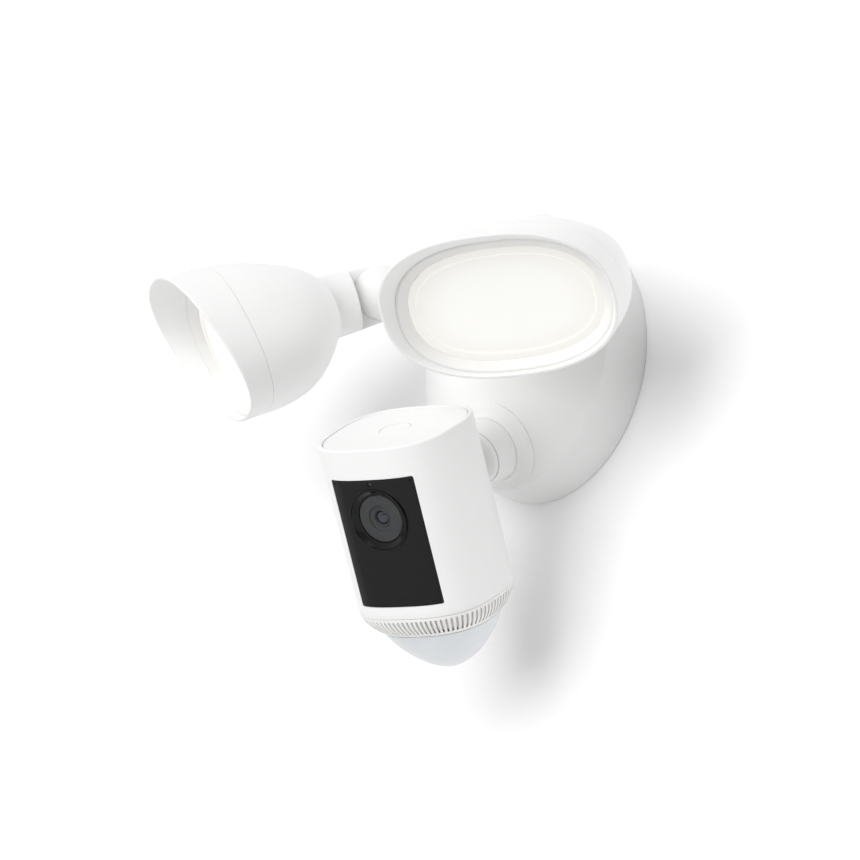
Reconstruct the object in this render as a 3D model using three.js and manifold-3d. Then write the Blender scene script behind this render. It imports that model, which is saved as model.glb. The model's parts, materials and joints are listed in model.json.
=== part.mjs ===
// A wall-mounted floodlight security camera: a domed round base, two oval floodlights on
// knuckle arms, and a camera on a ball stem below them.
// Millimetres, +Z up. The wall is the plane y = 0, the object stands out towards -Y, and the
// origin is the centre of the flat back face. "Forward" means along local -Y in every group.
import * as THREE from "three";
import { mergeVertices } from "three/addons/utils/BufferGeometryUtils.js";
import Module from "manifold-3d";

const wasm = await Module();
wasm.setup();

// ---------------------------------------------------------------- driving dimensions
const GAP = 0.35; // between pieces that touch
const WALL = 2.4; // moulded shells
const LOOP_STEPS = 24; // points round an oval section
const TURN_STEPS = 20; // sides of a turned piece

const BASE_RADIUS = 82; // at the wall
const FACE_RADIUS = 78.6; // where the band meets the dome
const BAND_DEPTH = 28.5;
const DOME_RADIUS = 108.8;
const DOME_CENTRE = BAND_DEPTH - Math.sqrt(DOME_RADIUS ** 2 - FACE_RADIUS ** 2); // forward of the wall
const DOME_TOP = DOME_CENTRE + DOME_RADIUS;
const BRACKET_THICKNESS = 2.5;
const BOX_SCREW_SPACING = 88.9; // across a standard round junction box
const COVER_FORWARD = 3.6; // front of the gap behind the back cover

// Every boss is square to the dome, so its axis passes through the centre of the dome sphere.
const BOSS_FOOT_HEIGHT = 105.2; // all boss heights are from the centre of the dome sphere
const BOSS_TOP_HEIGHT = 110.8;
const BOSS_TOP_RADIUS = 19.6;
const CAMERA_FOOT_RADIUS = 27.7;
const LIGHT_FOOT_RADIUS = 24;
const SPIGOT_RADIUS = 15.7;
const JOURNAL_RADIUS = 11.4;
const JOURNAL_END_HEIGHT = 94;
const PIVOT_HEIGHT = 145; // knuckle and ball centres

const LIGHT_LEAN = 35.2; // degrees between a light arm and straight forward
const LIGHT_CLOCK = 33.9; // degrees of a light arm above the horizontal, seen from the front
const CAMERA_LEAN = 31.9; // degrees that the camera boss points down

const KNUCKLE_RADIUS = 16.6;
const NECK_ROOT = 33; // forward of the knuckle pin, where the neck meets the shell
const NECK_ROOT_RADIUS = 19.3;
const NECK_LIP = 18;
const CHEEK_ROOM_RADIUS = 26; // cleared round the pin on the arm's outboard half
const PIN_RADIUS = 2.9;
const PIN_HEAD_RADIUS = 5.4;
const PIN_HEAD_FROM = 9;
const PIN_END = -12;

// The oval light head, measured forward of the knuckle pin.
const SEAM = { forward: 93.6, halfWidth: 68.4, halfHeight: 44.9, lean: 0.19 };
const MOUTH = { forward: 114.8, halfWidth: 68.1, halfHeight: 46.2, lean: 0.36 };
const LENS_SEAT = { forward: 102.8, halfWidth: 62.4, halfHeight: 40.4, lean: 0.19 };
const HEAD_DROP = 5.5; // the oval's centre below the neck axis
const SEAT_DROP = 8.7;
const OVAL_POWER = 2.4; // 2 is an ellipse, more is squarer
const SHELL_REACH_WIDTH = 61.06; // length of the shell's curve behind the seam, seen from above
const SHELL_WIDTH_POWER = 3; // of that curve: 2 is an ellipse, more is squarer
const SHELL_REACH_HEIGHT = 63.2; // length of the rounded quarter behind the seam, seen from the side
const SHELL_HEIGHT_POWER = 1.8;

// The poses of rest, in degrees.
const RIGHT_LIGHT = { side: 1, swivel: 2.1, bend: 50.9 };
const LEFT_LIGHT = { side: -1, swivel: -6, bend: 36.3 };
const CAMERA_PAN = 10.4;
const CAMERA_TILT = 32.7;
const CAMERA_ROLL = -7;

// The camera body, measured from the ball centre.
const BODY_FORWARD = 46.1; // to the body's own axis
const BODY_DROP = 8.1; // to the middle of its height
const BODY_HALF_WIDTH = 43.3;
const BODY_HALF_DEPTH = 37.3;
const BODY_HALF_HEIGHT = 51.6;
const BODY_POWER = 2.9;
const WINDOW = { halfWidth: 28.3, top: 33.6, bottom: -44, corner: 1.3 };
const LENS_UP = 9;
const LENS_RING_RADIUS = 18.9;
const BUTTON_RADIUS = 9.2;
const VENT_HEIGHT = 14.2;
const VENT_TAPER = 8.3; // how far the vent ring narrows down to its lower edge
const VENT_SLOTS = 20;
const SENSOR_DROP = 93; // tip of the motion sensor dome below the middle of the body
const BALL_RADIUS = 14;
const STEM_NECK_RADIUS = 7.5;
const SOCKET_OUTER_RADIUS = 18.6;

// ---------------------------------------------------------------- solids
const radians = THREE.MathUtils.degToRad;
const at = (x, y, z) => new THREE.Matrix4().makeTranslation(x, y, z);

// A closed mesh as a solid, with its faces turned outwards.
function solid(geometry) {
  const bare = new THREE.BufferGeometry();
  bare.setAttribute("position", geometry.getAttribute("position"));
  if (geometry.index) bare.setIndex(geometry.index);
  const merged = mergeVertices(bare, 1e-4);
  const vertProperties = new Float32Array(merged.attributes.position.array);
  const corners = Array.from(merged.index.array);
  const make = (list) => {
    const triVerts = new Uint32Array(list);
    return new wasm.Manifold(new wasm.Mesh({ numProp: 3, vertProperties, triVerts }));
  };
  const made = make(corners);
  return made.volume() >= 0 ? made : make(corners.reverse());
}

function geometryOf(body) {
  const mesh = body.getMesh();
  const positions = new THREE.BufferAttribute(new Float32Array(mesh.vertProperties), 3);
  const geometry = new THREE.BufferGeometry();
  geometry.setAttribute("position", positions);
  geometry.setIndex(new THREE.BufferAttribute(new Uint32Array(mesh.triVerts), 1));
  geometry.computeVertexNormals();
  return geometry;
}

// A solid of revolution about the forward axis, from [radius, forward] points.
function turned(profile, segments = TURN_STEPS) {
  const points = profile.map(([radius, forward]) => new THREE.Vector2(radius, -forward));
  return solid(new THREE.LatheGeometry(points, segments));
}

// The same about the vertical axis, from [radius, height] points.
function turnedUpright(profile, segments = TURN_STEPS) {
  const points = profile.map(([radius, height]) => new THREE.Vector2(radius, height));
  return solid(new THREE.LatheGeometry(points, segments).rotateX(Math.PI / 2));
}

// A ring of rectangular section about the forward axis.
function ring(inner, outer, back, front, segments = TURN_STEPS) {
  const section = [[inner, back], [outer, back], [outer, front], [inner, front], [inner, back]];
  return turned(section, segments);
}

// A round bar along the forward axis.
function bar(radius, back, front, segments = TURN_STEPS) {
  return turned([[0, back], [radius, back], [radius, front], [0, front]], segments);
}

function block(width, depth, height, x = 0, forward = 0, z = 0) {
  return solid(new THREE.BoxGeometry(width, depth, height).translate(x, -forward, z));
}

function moved(body, matrix) {
  return body.transform(matrix.elements);
}

// Points on an arc, as [radius, forward], with angles in degrees from the forward axis.
function arc(radius, centre, from, to, steps) {
  return Array.from({ length: steps + 1 }, (_, i) => {
    const angle = radians(from + ((to - from) * i) / steps);
    return [radius * Math.sin(angle), centre + radius * Math.cos(angle)];
  });
}

// A rounded oval: |x/w|^p + |z/h|^p = 1, as [x, z] points.
function oval(halfWidth, halfHeight, power, steps = LOOP_STEPS) {
  return Array.from({ length: steps }, (_, i) => {
    const angle = (2 * Math.PI * i) / steps;
    const spread = (value) => Math.sign(value) * Math.abs(value) ** (2 / power);
    return [halfWidth * spread(Math.cos(angle)), halfHeight * spread(Math.sin(angle))];
  });
}

// A forward-facing oval loop, on a plane that leans forward by `lean` per millimetre of height.
function face({ forward, halfWidth, halfHeight, lean = 0, drop = 0, power = OVAL_POWER }) {
  return oval(halfWidth, halfHeight, power).map(([x, z]) => [x, -(forward + lean * z), z - drop]);
}

// A horizontal oval loop of the camera body.
function level({ height, halfWidth, halfDepth, power = BODY_POWER }) {
  return oval(halfWidth, halfDepth, power).map(([x, y]) => [x, y, height]);
}

// Skins a list of loops. A closed skin joins the last loop to the first one; any other skin
// ends in flat caps.
function skinned(loops, closed = false) {
  const steps = loops[0].length;
  const positions = loops.flat(2);
  const corners = [];
  const rows = closed ? loops.length : loops.length - 1;
  for (let row = 0; row < rows; row++) {
    const next = (row + 1) % loops.length;
    for (let i = 0; i < steps; i++) {
      const j = (i + 1) % steps;
      const [a, b, c, d] = [row * steps + i, row * steps + j, next * steps + j, next * steps + i];
      corners.push(a, b, c, a, c, d);
    }
  }
  if (!closed) {
    for (const [loop, flip] of [[0, true], [loops.length - 1, false]]) {
      const centre = positions.length / 3;
      const mean = [0, 1, 2].map((k) => loops[loop].reduce((sum, p) => sum + p[k], 0) / steps);
      positions.push(...mean);
      for (let i = 0; i < steps; i++) {
        const a = loop * steps + i;
        const b = loop * steps + ((i + 1) % steps);
        corners.push(...(flip ? [centre, b, a] : [centre, a, b]));
      }
    }
  }
  const geometry = new THREE.BufferGeometry();
  geometry.setAttribute("position", new THREE.Float32BufferAttribute(positions, 3));
  geometry.setIndex(corners);
  return solid(geometry);
}

// A plate with rounded corners, standing across the forward axis.
function roundedPlate(width, height, corner, back, front, z = 0) {
  const [w, h] = [width / 2, height / 2];
  const outline = new THREE.Shape();
  outline.absarc(w - corner, h - corner, corner, 0, Math.PI / 2);
  outline.absarc(-w + corner, h - corner, corner, Math.PI / 2, Math.PI);
  outline.absarc(-w + corner, -h + corner, corner, Math.PI, 1.5 * Math.PI);
  outline.absarc(w - corner, -h + corner, corner, 1.5 * Math.PI, 2 * Math.PI);
  const extrusion = new THREE.ExtrudeGeometry(outline, {
    depth: front - back,
    bevelEnabled: false,
    curveSegments: 2,
  });
  return solid(extrusion.rotateX(Math.PI / 2).translate(0, -back, z));
}

// ---------------------------------------------------------------- materials
const MATERIALS = {
  white: { color: 0xf3f2ef, roughness: 0.42, metalness: 0 },
  softWhite: { color: 0xe9e8e4, roughness: 0.55, metalness: 0 },
  black: { color: 0x0b0b0c, roughness: 0.12, metalness: 0 },
  darkPlastic: { color: 0x2a2b2d, roughness: 0.6, metalness: 0 },
  rubber: { color: 0x3a3b3d, roughness: 0.9, metalness: 0 },
  steel: { color: 0xb9bbbd, roughness: 0.35, metalness: 1 },
  aluminium: { color: 0xc4c6c8, roughness: 0.45, metalness: 1 },
  board: { color: 0x1f5a3c, roughness: 0.6, metalness: 0 },
  diffuser: { color: 0xfff6e2, roughness: 0.5, metalness: 0 },
  frosted: { color: 0xe4e9f2, roughness: 0.3, metalness: 0 },
  glass: { color: 0x11131a, roughness: 0.05, metalness: 0 },
};

// A named piece: one solid in its own mesh and material, inside a group.
function piece(group, name, body, material) {
  const mesh = new THREE.Mesh(geometryOf(body), new THREE.MeshStandardMaterial(MATERIALS[material]));
  mesh.name = name;
  group.add(mesh);
}

// ---------------------------------------------------------------- places
const floodlight = new THREE.Group();
const bosses = [];

// A group whose forward axis leaves the centre of the dome sphere by `lean` degrees from
// straight forward, in the direction `clock` degrees round from +X.
function bossGroup(lean, clock) {
  const group = new THREE.Group();
  const [l, c] = [radians(lean), radians(clock)];
  const forward = new THREE.Vector3(Math.sin(l) * Math.cos(c), -Math.cos(l), Math.sin(l) * Math.sin(c));
  const back = forward.clone().negate();
  const right = new THREE.Vector3(-back.y, back.x, 0).normalize().negate();
  const up = right.clone().cross(back);
  group.matrixAutoUpdate = false;
  group.matrix.makeBasis(right, back, up).setPosition(0, -DOME_CENTRE, 0);
  floodlight.add(group);
  bosses.push(group);
  return group;
}

const cameraBoss = bossGroup(CAMERA_LEAN, -90);
const lightBoss = (side) => bossGroup(LIGHT_LEAN, side > 0 ? LIGHT_CLOCK : 180 - LIGHT_CLOCK);

// ---------------------------------------------------------------- base
const base = new THREE.Group();
floodlight.add(base);

function domeAngle(radius, domeRadius = DOME_RADIUS) {
  return THREE.MathUtils.radToDeg(Math.asin(radius / domeRadius));
}

function makeBaseHousing() {
  const innerDome = DOME_RADIUS - WALL;
  const innerFace = FACE_RADIUS - WALL;
  const shell = turned(
    [
      [BASE_RADIUS - WALL, 0.6],
      [BASE_RADIUS - 0.8, 0.6],
      [BASE_RADIUS, 1.4],
      [FACE_RADIUS + 0.5, BAND_DEPTH - 0.9],
      ...arc(DOME_RADIUS, DOME_CENTRE, domeAngle(FACE_RADIUS - 0.9), 0, 6),
      ...arc(innerDome, DOME_CENTRE, 0, domeAngle(innerFace, innerDome), 4),
      [BASE_RADIUS - WALL, 0.6],
    ],
    40,
  );
  const holes = bosses.map((boss) => moved(bar(SPIGOT_RADIUS + GAP, 90, 120), boss.matrix));
  const housing = holes.reduce((left, hole) => left.subtract(hole), shell);
  piece(base, "base_housing", housing, "white");
}

function makeBaseBack() {
  // The bracket bolts to the junction box; its middle stays solid against the wall.
  const slot = (x) => roundedPlate(5.4, 18, 2.6, -1, BRACKET_THICKNESS + 1).translate(x, 0, 0);
  const lightening = (z) => roundedPlate(34, 9, 4.4, -1, BRACKET_THICKNESS + 1, z);
  const bracket = bar(58, 0, BRACKET_THICKNESS, 28)
    .subtract(slot(-BOX_SCREW_SPACING / 2))
    .subtract(slot(BOX_SCREW_SPACING / 2))
    .subtract(lightening(34))
    .subtract(lightening(-34));
  piece(base, "wall_bracket", bracket, "steel");
  piece(base, "wall_gasket", ring(71, 79, 0, COVER_FORWARD - GAP), "rubber");

  const entry = bar(9, 0, 12).translate(0, 0, 20);
  const bolt = (x) => bar(2.6, 0, 12, 16).translate(x, 0, -14);
  const cover = bar(77.4, COVER_FORWARD, COVER_FORWARD + 2.2, 32)
    .subtract(entry)
    .subtract(bolt(-30))
    .subtract(bolt(30));
  piece(base, "back_cover", cover, "darkPlastic");

  const grommetProfile = [
    [5, COVER_FORWARD],
    [8.6, COVER_FORWARD],
    [8.6, COVER_FORWARD + 2.6],
    [10.6, COVER_FORWARD + 2.6],
    [10.6, COVER_FORWARD + 4.4],
    [5, COVER_FORWARD + 4.4],
    [5, COVER_FORWARD],
  ];
  piece(base, "lead_grommet", turned(grommetProfile, 16).translate(0, 0, 20), "rubber");
}

// A pan-head screw along the forward axis, with its head at the front.
function screw(shaft, length, head, headHeight) {
  const profile = [
    [0, 0],
    [shaft, 0],
    [shaft, length],
    [head, length],
    [head, length + headHeight * 0.6],
    [head * 0.7, length + headHeight],
    [0, length + headHeight],
  ];
  const slot = block(head * 1.3, headHeight, 0.9, 0, length + headHeight);
  return turned(profile, 12).subtract(slot);
}

function makeBaseInside() {
  const inside = COVER_FORWARD + 2.2 + GAP;
  for (const [side, x] of [["left", -30], ["right", 30]])
    piece(base, `cover_screw_${side}`, screw(2.2, 5.2, 4.2, 2.6).translate(x, -3, -14), "steel");

  piece(base, "power_driver", roundedPlate(58, 26, 4, inside + 5, inside + 23, -38), "darkPlastic");
  const posts = [[-26, -27], [26, -27]];
  const board = posts.reduce(
    (left, [x, z]) => left.subtract(bar(1.5, 0, 40, 12).translate(x, 0, z)),
    roundedPlate(78, 34, 4, inside + 1.2, inside + 2.8, -38),
  );
  piece(base, "power_board", board, "board");
  piece(base, "terminal_block", terminalBlock(inside).translate(0, 0, -4), "softWhite");
  piece(base, "control_board", roundedPlate(60, 26, 3, inside + 26, inside + 27.6, 36), "board");
}

// Three screw terminals in a row.
function terminalBlock(back) {
  const wires = [-9, 0, 9].map((x) => block(5, 8, 7, x, back + 9, 4));
  return wires.reduce((left, wire) => left.subtract(wire), block(30, 12, 12, 0, back + 6.2));
}

// ---------------------------------------------------------------- bosses
function bossPiece(footRadius) {
  const seat = DOME_RADIUS + GAP;
  const footAngle = domeAngle(footRadius, seat);
  return turned([
    [JOURNAL_RADIUS + GAP, 98],
    [SPIGOT_RADIUS, 98],
    ...arc(seat, 0, domeAngle(SPIGOT_RADIUS, seat), footAngle, 2),
    [footRadius - 0.6, BOSS_FOOT_HEIGHT + 1.6],
    [BOSS_TOP_RADIUS + 1.6, BOSS_TOP_HEIGHT - 1.6],
    [BOSS_TOP_RADIUS, BOSS_TOP_HEIGHT],
    [JOURNAL_RADIUS + GAP, BOSS_TOP_HEIGHT],
    [JOURNAL_RADIUS + GAP, 98],
  ]);
}

function makeBoss(group, name, footRadius) {
  piece(group, `${name}_boss`, bossPiece(footRadius), "white");
  piece(group, `${name}_boss_nut`, ring(SPIGOT_RADIUS + GAP, 20.5, 99.6, 103.4), "steel");
}

// The turning shoulder above a boss, from its journal to `forward`, without the end.
function shoulder(topRadius, topHeight) {
  return [
    [0, JOURNAL_END_HEIGHT],
    [JOURNAL_RADIUS, JOURNAL_END_HEIGHT],
    [JOURNAL_RADIUS, BOSS_TOP_HEIGHT + GAP],
    [BOSS_TOP_RADIUS - 0.4, BOSS_TOP_HEIGHT + GAP],
    [topRadius, topHeight],
  ];
}

// ---------------------------------------------------------------- lights
// How far the light shell has opened at a distance forward of the pin, 0 at the neck root.
function opened(forward) {
  return THREE.MathUtils.smoothstep(forward, NECK_ROOT, 62);
}

// The loop of the light shell's outside at a distance forward of the pin, `inset` inside it.
function shellLoop(forward, inset = 0) {
  const behind = SEAM.forward - forward;
  const reach = (length, power) => (1 - (behind / length) ** power) ** (1 / power);
  return face({
    forward,
    halfWidth: SEAM.halfWidth * reach(SHELL_REACH_WIDTH, SHELL_WIDTH_POWER) - inset,
    halfHeight: SEAM.halfHeight * reach(SHELL_REACH_HEIGHT, SHELL_HEIGHT_POWER) - inset,
    lean: SEAM.lean,
    drop: HEAD_DROP * opened(forward),
    power: 2 + (OVAL_POWER - 2) * opened(forward),
  });
}

// A round bar along the knuckle pin, `from` and `to` measured outboard.
function pinBar(side, radius, from, to) {
  const outboard = new THREE.Matrix4().makeRotationZ((side * Math.PI) / 2);
  return moved(bar(radius, from, to, radius > 10 ? 28 : 12), outboard);
}

// Distances from the neck root to the seam, closer together where the shell curves more.
function shellStations(from, count) {
  return Array.from({ length: count + 1 }, (_, i) => {
    const angle = (1 - i / count) * Math.asin((SEAM.forward - from) / SHELL_REACH_HEIGHT);
    return SEAM.forward - SHELL_REACH_HEIGHT * Math.sin(angle);
  });
}

function makeRearShell(side) {
  const dome = skinned(shellStations(NECK_ROOT, 7).map((forward) => shellLoop(forward)));
  const neck = turned([
    ...arc(KNUCKLE_RADIUS, 0, 180, 90, 5),
    [NECK_ROOT_RADIUS, NECK_ROOT + 1],
    [NECK_ROOT_RADIUS + 1.5, NECK_ROOT + 4],
    [0, NECK_ROOT + 4],
  ]);
  const cavityStart = NECK_ROOT + 6;
  const cavityLoops = shellStations(cavityStart, 4).map((forward) => shellLoop(forward, WALL));
  const mouth = shellLoop(SEAM.forward, WALL).map(([x, y, z]) => [x, y - 2, z]);
  const cavity = skinned([...cavityLoops, mouth]);
  // Only the outboard cheek reaches the pin.
  const cheekCut = block(40, NECK_LIP + 40, 60, -side * (20 - 0.2), (NECK_LIP - 40) / 2);
  const leadHole = bar(5, NECK_LIP - 4, cavityStart + 4, 12);
  const cuts = [cavity, cheekCut, pinBar(side, PIN_RADIUS + GAP, 0, 30), leadHole];
  const headRoom = pinBar(side, PIN_HEAD_RADIUS + GAP, PIN_HEAD_FROM - GAP, 30);
  return [...cuts, headRoom].reduce((left, cut) => left.subtract(cut), dome.add(neck));
}

// The hood: outside from the seam to the mouth, then in over the lip to the seat of the lens.
function makeHood() {
  const seam = { ...SEAM, drop: HEAD_DROP };
  const mouth = { ...MOUTH, drop: HEAD_DROP };
  const seat = { ...LENS_SEAT, drop: SEAT_DROP };
  const smaller = (ovalFace, by, forward = 0) => ({
    ...ovalFace,
    halfWidth: ovalFace.halfWidth - by,
    halfHeight: ovalFace.halfHeight - by,
    forward: ovalFace.forward + forward,
  });
  return skinned(
    [
      smaller(seam, 0, GAP),
      smaller(mouth, 0, -1.4),
      smaller(mouth, 0.9),
      smaller(mouth, 2.2),
      seat,
      smaller(seat, 1, -9.5),
    ].map(face),
    true,
  );
}

// Oval loops parallel to the lens seat, given as [inset, forward of the seat].
function seatRing(steps) {
  return steps.map(([inset, forward]) =>
    face({
      ...LENS_SEAT,
      drop: SEAT_DROP,
      halfWidth: LENS_SEAT.halfWidth - inset,
      halfHeight: LENS_SEAT.halfHeight - inset,
      forward: LENS_SEAT.forward + forward,
    }),
  );
}

function makeHeatSink() {
  const plate = skinned(seatRing([[20, -21], [20, -18]]));
  const fins = Array.from({ length: 5 }, (_, i) => {
    const x = (i - 2) * 12;
    const depth = 16 - 1.4 * Math.abs(i - 2);
    return block(2, depth, 30, x, LENS_SEAT.forward - 20.5 - depth / 2, -SEAT_DROP);
  });
  return fins.reduce((left, fin) => left.add(fin), plate);
}

function makeLight({ side, swivel, bend }) {
  const name = side > 0 ? "right" : "left";
  const boss = lightBoss(side);
  makeBoss(boss, `light_${name}`, LIGHT_FOOT_RADIUS);

  // The arm turns in the boss; its inboard half carries the pin of the knuckle.
  const arm = new THREE.Group();
  arm.rotation.y = -radians(swivel);
  boss.add(arm);
  const armProfile = [
    ...shoulder(KNUCKLE_RADIUS, 121),
    ...arc(KNUCKLE_RADIUS, PIVOT_HEIGHT, 90, 0, 6),
  ];
  const cheekRoom = pinBar(side, CHEEK_ROOM_RADIUS, -0.2, 30).translate(0, -PIVOT_HEIGHT, 0);
  const pinHole = pinBar(side, PIN_RADIUS + GAP, PIN_END - GAP, 30).translate(0, -PIVOT_HEIGHT, 0);
  const leadHole = bar(5, JOURNAL_END_HEIGHT - 1, 124, 12);
  const armBody = turned(armProfile).subtract(cheekRoom).subtract(pinHole).subtract(leadHole);
  piece(arm, `arm_${name}`, armBody, "white");
  piece(arm, `arm_clip_${name}`, ring(JOURNAL_RADIUS + GAP, 14.8, 95.4, 97.4), "steel");

  // The head bends at the knuckle.
  const head = new THREE.Group();
  head.position.set(0, -PIVOT_HEIGHT, 0);
  head.rotation.x = radians(bend);
  arm.add(head);
  piece(head, `light_shell_${name}`, makeRearShell(side), "white");
  piece(head, `light_hood_${name}`, makeHood(), "white");
  const frame = seatRing([[0.4, -0.4], [1.4, -0.4], [6.1, -5], [6.1, -7.4], [1.2, -7.4]]);
  piece(head, `lens_frame_${name}`, skinned(frame, true), "softWhite");
  const gasket = seatRing([[1.5, -7.8], [8.4, -7.8], [8.4, -9.2], [1.5, -9.2]]);
  piece(head, `lens_gasket_${name}`, skinned(gasket, true), "rubber");
  const lens = [[8.8, -8.6], [8.8, -7.2], [6.5, -7.2], [6.5, -5.6], [9, -6], [10.6, -7], [20, -6.4]];
  piece(head, `diffuser_${name}`, skinned(seatRing(lens)), "diffuser");
  piece(head, `led_board_${name}`, skinned(seatRing([[16, -17.6], [16, -16]])), "softWhite");
  piece(head, `heat_sink_${name}`, makeHeatSink(), "aluminium");
  const pin = pinBar(side, PIN_RADIUS, PIN_END, PIN_HEAD_FROM + 1);
  const pinHead = pinBar(side, PIN_HEAD_RADIUS, PIN_HEAD_FROM, PIN_HEAD_FROM + 2.6);
  piece(head, `knuckle_pin_${name}`, pin.add(pinHead), "steel");
}

// ---------------------------------------------------------------- camera
// The stem turns in its boss; the ball at its end carries the camera.
function makeCameraStem() {
  makeBoss(cameraBoss, "camera", CAMERA_FOOT_RADIUS);
  const collarEnd = BOSS_FOOT_HEIGHT + 18.2;
  const collar = turned([...shoulder(16, collarEnd), [0, collarEnd]]).subtract(bar(8.3, 90, 130));
  piece(cameraBoss, "swivel_collar", collar, "white");
  piece(cameraBoss, "collar_clip", ring(JOURNAL_RADIUS + GAP, 14.8, 95.4, 97.4), "steel");
  const neckAngle = domeAngle(STEM_NECK_RADIUS, BALL_RADIUS);
  const stem = turned([
    [4, 93],
    [8, 93],
    [8, collarEnd + GAP],
    [15.2, collarEnd + GAP],
    [14.6, collarEnd + 2.4],
    [STEM_NECK_RADIUS + 2, collarEnd + 6.6],
    [STEM_NECK_RADIUS, collarEnd + 9.7],
    ...arc(BALL_RADIUS, PIVOT_HEIGHT, 180 - neckAngle, 16, 5),
    [4, PIVOT_HEIGHT + 11],
    [4, 93],
  ]);
  piece(cameraBoss, "ball_stem", stem, "white");
}

const camera = new THREE.Group();

function placeCamera() {
  const ball = new THREE.Vector3(0, -PIVOT_HEIGHT, 0).applyMatrix4(cameraBoss.matrix);
  camera.position.copy(ball);
  camera.rotation.order = "ZXY";
  camera.rotation.z = radians(CAMERA_PAN);
  camera.rotation.x = radians(CAMERA_TILT);
  camera.rotation.y = -radians(CAMERA_ROLL);
  floodlight.add(camera);
}

// The camera's own parts are made about the middle of its body.
const body = new THREE.Group();
body.position.set(0, -BODY_FORWARD, -BODY_DROP);
camera.add(body);
const ballInBody = at(0, BODY_FORWARD, BODY_DROP);

function bodyLoop(height, inset, power = BODY_POWER) {
  return level({
    height,
    halfWidth: BODY_HALF_WIDTH - inset,
    halfDepth: BODY_HALF_DEPTH - inset,
    power,
  });
}

function windowPlate(spare, back, front) {
  const height = WINDOW.top - WINDOW.bottom + 2 * spare;
  const middle = (WINDOW.top + WINDOW.bottom) / 2;
  const width = 2 * (WINDOW.halfWidth + spare);
  return roundedPlate(width, height, WINDOW.corner + spare, back, front, middle);
}

function sphere(radius, segments = 20) {
  return turned(arc(radius, 0, 180, 0, segments / 2), segments);
}

function makeCameraHousing() {
  const [top, bottom] = [BODY_HALF_HEIGHT, -BODY_HALF_HEIGHT];
  const outside = skinned([
    bodyLoop(bottom, 0),
    bodyLoop(top - 1, 0),
    bodyLoop(top, 0.8),
  ]);
  const inside = skinned([bodyLoop(bottom - 1, WALL), bodyLoop(top + 1, WALL)]);
  const socketBack = block(60, 30, 60, 0, -15 - 6);
  const aroundBall = (radius) => sphere(radius).subtract(socketBack);
  const cup = moved(aroundBall(SOCKET_OUTER_RADIUS), ballInBody);
  const hollow = moved(sphere(15.9), ballInBody);
  const housing = outside
    .subtract(inside)
    .add(cup)
    .subtract(hollow)
    .subtract(windowPlate(0, 20, 60));
  piece(body, "camera_housing", housing, "white");

  // The friction liner grips the ball inside the socket.
  const linerSkin = arc(15.5, 0, 110, 28, 4);
  const linerFace = arc(BALL_RADIUS + 1.5 * GAP, 0, 28, 112, 4);
  const liner = turned([...linerSkin, ...linerFace, linerSkin[0]]);
  piece(camera, "ball_liner", liner, "darkPlastic");
}

function makeCameraTop() {
  const top = BODY_HALF_HEIGHT;
  const cap = skinned([
    bodyLoop(top - 4, WALL + GAP),
    bodyLoop(top - 0.9, WALL + GAP),
    bodyLoop(top - 0.5, WALL + 1),
  ]);
  const column = (radius, from, to, segments) =>
    turnedUpright([[0, from], [radius, from], [radius, to], [0, to]], segments);
  const well = column(BUTTON_RADIUS + GAP, top - 6, top + 1, 28);
  piece(body, "camera_top_cap", cap.subtract(well), "white");
  const buttonProfile = [
    [0, top - 5],
    [BUTTON_RADIUS, top - 5],
    [BUTTON_RADIUS, top - 0.9],
    [BUTTON_RADIUS - 0.5, top - 0.5],
    [0, top - 0.5],
  ];
  piece(body, "setup_button", turnedUpright(buttonProfile, 28), "white");
  piece(body, "button_switch", column(3, top - 9.4, top - 6.4, 12), "darkPlastic");
}

function makeCameraFront() {
  const skin = skinned([bodyLoop(WINDOW.bottom - 6, 0.3), bodyLoop(WINDOW.top + 6, 0.3)]);
  const back = skinned([bodyLoop(WINDOW.bottom - 7, 2.2), bodyLoop(WINDOW.top + 7, 2.2)]);
  const lensHole = bar(LENS_RING_RADIUS + GAP, 0, 60, 32).translate(0, 0, LENS_UP);
  const hole = (x, z, radius) => bar(radius, 0, 60, 8).translate(x, 0, WINDOW.top - z);
  const holes = [hole(-26, 2.4, 0.6), hole(0, 2.9, 1.5), hole(26, 2.4, 0.6)];
  const panel = holes.reduce(
    (left, hole) => left.subtract(hole),
    skin.subtract(back).intersect(windowPlate(-GAP, 20, 60)).subtract(lensHole),
  );
  piece(body, "front_window", panel, "black");

  const up = (profile, segments) => turned(profile, segments).translate(0, 0, LENS_UP);
  const front = BODY_HALF_DEPTH;
  const bezel = up([
    [14.5, front - 8],
    [LENS_RING_RADIUS, front - 8],
    [LENS_RING_RADIUS, front - 0.2],
    [LENS_RING_RADIUS - 1.2, front + 0.3],
    [LENS_RING_RADIUS - 2, front - 0.4],
    [14.5, front - 2],
    [14.5, front - 8],
  ], 32);
  piece(body, "lens_bezel", bezel, "black");
  const barrel = up([
    [6.4, front - 22],
    [14.1, front - 22],
    [14.1, front - 3],
    [7.8, front - 3],
    [6.4, front - 5],
    [6.4, front - 22],
  ], 24);
  piece(body, "lens_barrel", barrel, "darkPlastic");
  const dome = arc(9, front - 12.5, 41, 0, 3);
  piece(body, "lens_glass", up([[0, front - 12], [6, front - 12], [6, front - 5.6], ...dome], 24), "glass");
  const sensor = bar(1.1, 30, front - 0.6, 8).translate(0, 0, WINDOW.top - 2.9);
  piece(body, "light_sensor", sensor, "glass");
}

function makeCameraInside() {
  const board = roundedPlate(60, 82, 4, 6, 7.6, -2);
  piece(body, "camera_board", board, "board");
  piece(body, "image_sensor", roundedPlate(22, 22, 2, 8, 14.4, LENS_UP), "darkPlastic");
  const siren = [[0, -47], [14, -47], [18, -42], [18, -36], [9, -36], [7, -28], [0, -28]];
  piece(body, "siren_speaker", turnedUpright(siren).translate(0, 14, 0), "darkPlastic");
}

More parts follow.
